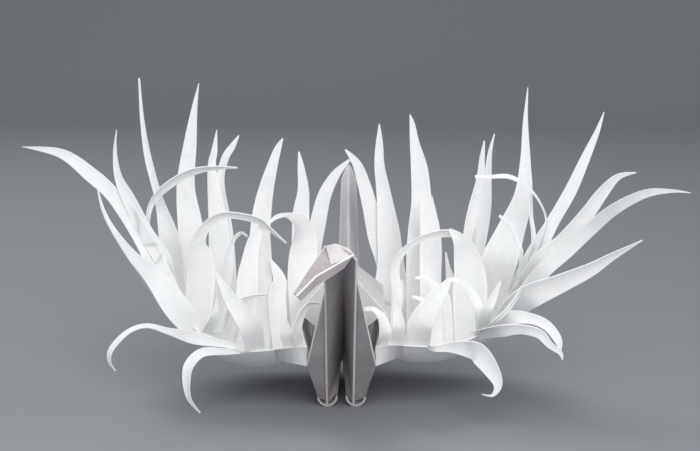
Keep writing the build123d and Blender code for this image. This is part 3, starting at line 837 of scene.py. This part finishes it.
def lean(end, degrees):
    """The way a leaning channel runs, and the way from its edges to its crease."""
    angle = math.radians(degrees)
    way = Vector((0, end * math.sin(angle), math.cos(angle)))
    return way, right_way.cross(way * end)


def channel(foot, way, to_crease, crease_shift, sections):
    """Rows of left edge, crease and right edge, from distance, left, right and depth in mm."""
    rows = []
    for distance, left, right, depth in sections:
        middle = foot + way * distance
        crease = middle + to_crease * depth + right_way * crease_shift
        rows.append([middle - right_way * left, crease, middle + right_way * right])
    return rows


neck_way, neck_to_crease = lean(-1, neck_lean)
tail_way, tail_to_crease = lean(1, tail_lean)
print("the neck runs along", neck_way, "and the tail along", tail_way)

# %% The neck
neck_foot = Vector((0, -keel_half_length + pressed_fold, pressed_fold))
neck_end = neck_foot + neck_way * neck_length
neck_crease_shift = 0.5
neck_sections = [(0, 3.0, 2.4, 14.0), (neck_length, 3.0, 2.9, 2.4)]
neck_corners = channel(neck_foot, neck_way, neck_to_crease, neck_crease_shift, neck_sections)
# The neck is painted in the darker shaded grey.
sheet_piece("neck", [fine_panel(neck_corners)], pressed_fold, painted_deep_shade_paper)
print("neck ends at", [round(v, 1) for v in neck_end])

# %% The head and its cap
def from_neck_end(steps):
    """Rows of corners, from rows of steps in mm from the end of the neck."""
    return [[neck_end + Vector(step) for step in row] for row in steps]


beak_corners = from_neck_end([
    [(-2.8, 0.3, 2.6), (0.6, -1.5, -1.0), (2.2, -1.3, 1.2)],
    [(-5.6, -2.7, -0.9), (-4.4, -4.2, -3.9), (-4.4, -4.7, -2.1)],
    [(-8.5, -5.7, -5.1), (-7.0, -6.7, -6.1), (-7.9, -7.7, -5.2)],
])
crown = neck_end + Vector((-0.9, 0.7, 2.7))
crown_corners = [neck_corners[1], [beak_corners[0][0], crown, beak_corners[0][2]]]
cap_corners = from_neck_end([
    [(-2.7, -1.0, 2.8), (-1.0, 0.7, 2.9), (1.6, 0.5, 1.9)],
    [(-1.8, -1.9, -0.6), (0.6, -1.6, 0.3), (2.6, -0.9, 0.9)],
])
head = [fine_panel(crown_corners), fine_panel(beak_corners)]
cap = without_lines(fine_panel(cap_corners))
# The head is painted in the darker shaded grey, and its cap in the lighter one.
sheet_piece("head", head, pressed_fold, painted_deep_shade_paper)
sheet_piece("head_cap", [cap], pressed_fold, painted_light_shade_paper)

# %% The tail
tail_foot = Vector((tail_shift, keel_half_length - pressed_fold, pressed_fold))
tail_tip_length = 4.0
tail_taper = tail_length - tail_tip_length
tail_sections = [
    (0, 2.9, 2.9, 14.0),
    (tail_taper, 1.6, 1.6, 2.0),
    (tail_length, 0.4, 0.4, pressed_fold),
]
tail_corners = channel(tail_foot, tail_way, tail_to_crease, 0, tail_sections)
tail_grid = fine_panel(tail_corners)
crease_column = len(tail_grid[0]) // 2
for row in tail_grid:
    row[crease_column] = (row[crease_column][0], 0.0)
# The tail is painted in the lighter shaded grey.
sheet_piece("tail", [tail_grid], pressed_fold, painted_light_shade_paper)
print("tail ends at", [round(v, 1) for v in tail_corners[-1][1]])

# %% [markdown]
# ## Pockets, gussets and inner layers
#
# Beside the neck and the tail, the body's paper turns inwards and makes pockets that close the
# sides. Small gussets join the body's panels to the folded layers under the hump. Inside, two
# layers fold back up from the keels and meet under the hump, which leaves the narrow dark slit
# between the two feet. They could be drawn on their own, but most of their corners are already
# named. So they take those, and lap a little over the neck and the tail, as folded paper does.

# %% Pockets, gussets and inner layers
pocket_lap, inner_lap = 0.7, 0.3
inner_level = (keel_inner, 9.0, keel_side_height)
inner_ridge_half_length = 1.0
neck_pocket_reach = {-1: 41.0, 1: 45.0}
tail_pocket_reach = 30.0
gusset_inside, gusset_outside = (2.0, 11, 19), (4.0, 13, 15.5)
pockets, gussets, inner_layers = [], [], []
for side, edge in ((-1, 0), (1, 2)):
    borders = []
    for end, corners, way, length, reach in (
        (-1, neck_corners, neck_way, neck_length, neck_pocket_reach[side]),
        (1, tail_corners, tail_way, tail_taper, tail_pocket_reach),
    ):
        low, ridge = corners[0][edge], corners[0][1]
        inward = (ridge - low).normalized()
        start = low + inward * pocket_lap + way * pressed_fold
        top = start + (corners[1][edge] - low) * (reach / length)
        outer = [corner(side, end, *keel_level), corner(side, end, *hinge_level)]
        pockets.append(fine_panel([outer, [start, top]]))
        upper = [corner(side, end, *shoulder_level), corner(side, end, *hump_level)]
        lower = [corner(side, end, *gusset_outside), corner(side, end, *gusset_inside)]
        gussets.append(fine_panel([upper, lower]))
        borders.append([low + (inward + way) * inner_lap, ridge + way * inner_lap])
        inner_ridge = corner(side, end, 0, inner_ridge_half_length, ridge.z)
        borders.append([corner(side, end, *inner_level), inner_ridge])
    front_border, front_inner, back_border, back_inner = borders
    inner_layers.append(fine_panel([front_border, front_inner, back_inner, back_border]))
# Pockets and inner layers are painted in the darker shaded grey, and gussets in the lighter one.
sheet_piece("pockets", pockets, pressed_fold, painted_deep_shade_paper)
sheet_piece("gussets", gussets, paper, painted_light_shade_paper)
sheet_piece("inner_layers", inner_layers, pressed_fold, painted_deep_shade_paper)

# %% [markdown]
# ## The table, the light and the camera
#
# A plain pale table curves up behind the crane, because an edge or a corner behind it would draw
# the eye. A soft square lamp stands in front, a little to the right and above the camera, and
# lights the wings and blades. A second lamp, high behind on the left, makes the edges glow, and a
# pale sky fills the shadows. Their power is set so that the white paper stays just under white.
# The camera stands at the photograph's place, 0.4 m in front of the crane, and looks down by 8
# degrees through a long lens.

# %% Table and backdrop, in metres
bend_radius, bend_steps = 0.25, 16
table_front, table_back, backdrop_top, table_half_width = -1.2, 0.9, 1.2, 2.0


def table_sweep():
    """A table top that curves up into a backdrop."""
    bend_start = table_back - bend_radius
    line = [(table_front, 0.0), (bend_start, 0.0)]
    for i in range(1, bend_steps + 1):
        angle = math.pi / 2 * i / bend_steps
        rise = bend_radius - bend_radius * math.cos(angle)
        line.append((bend_start + bend_radius * math.sin(angle), rise))
    line.append((table_back, backdrop_top))
    build = bmesh.new()
    sides = (-table_half_width, table_half_width)
    pairs = [[build.verts.new((x, y, z)) for x in sides] for y, z in line]
    for (a, b), (c, d) in zip(pairs, pairs[1:]):
        build.faces.new((a, b, d, c))
    mesh = bpy.data.meshes.new("table")
    build.to_mesh(mesh)
    build.free()
    mesh.polygons.foreach_set("use_smooth", [True] * len(mesh.polygons))
    table = bpy.data.objects.new("table", mesh)
    bpy.context.collection.objects.link(table)
    table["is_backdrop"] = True
    return table


table = table_sweep()
table_paint = bpy.data.materials.new("table_paint")
table_paint.use_nodes = True
table_surface = table_paint.node_tree.nodes["Principled BSDF"].inputs
table_surface["Base Color"].default_value = (0.26, 0.27, 0.29, 1)
table_surface["Roughness"].default_value = 0.75
table.data.materials.append(table_paint)
print("table:", len(table.data.polygons), "faces")

# %% Lamps and sky
middle_of_crane = Vector((0, 0, 0.035))


def area_lamp(name, place, size, power):
    """A square soft lamp that looks at the middle of the crane."""
    light = bpy.data.lights.new(name, "AREA")
    light.size = size
    light.energy = power
    lamp = bpy.data.objects.new(name, light)
    bpy.context.collection.objects.link(lamp)
    lamp.location = place
    away = middle_of_crane - Vector(place)
    lamp.rotation_euler = away.to_track_quat("-Z", "Y").to_euler()


area_lamp("key", place=(0.05, -0.46, 0.27), size=0.3, power=2.05)
area_lamp("back", place=(-0.2, 0.3, 0.6), size=0.4, power=2.0)
sky = bpy.data.worlds.new("studio")
bpy.context.scene.world = sky
sky.use_nodes = True
sky_light = sky.node_tree.nodes["Background"].inputs
sky_light["Color"].default_value = (0.93, 0.96, 1.0, 1)
sky_light["Strength"].default_value = 0.42

# %% Camera
camera_data = bpy.data.cameras.new("camera")
camera_data.lens = 100
camera_data.sensor_width = 36
camera = bpy.data.objects.new("camera", camera_data)
bpy.context.collection.objects.link(camera)
camera.location = (0.0017, -0.3991, 0.0914)
camera.rotation_euler = (math.radians(82), 0, 0)
bpy.context.scene.camera = camera
bpy.context.scene.view_settings.view_transform = "Standard"
print("camera at", [round(v, 3) for v in camera.location])

low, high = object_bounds()
print("visual box in mm:", [round(v / mm, 1) for v in (*low, *high)])
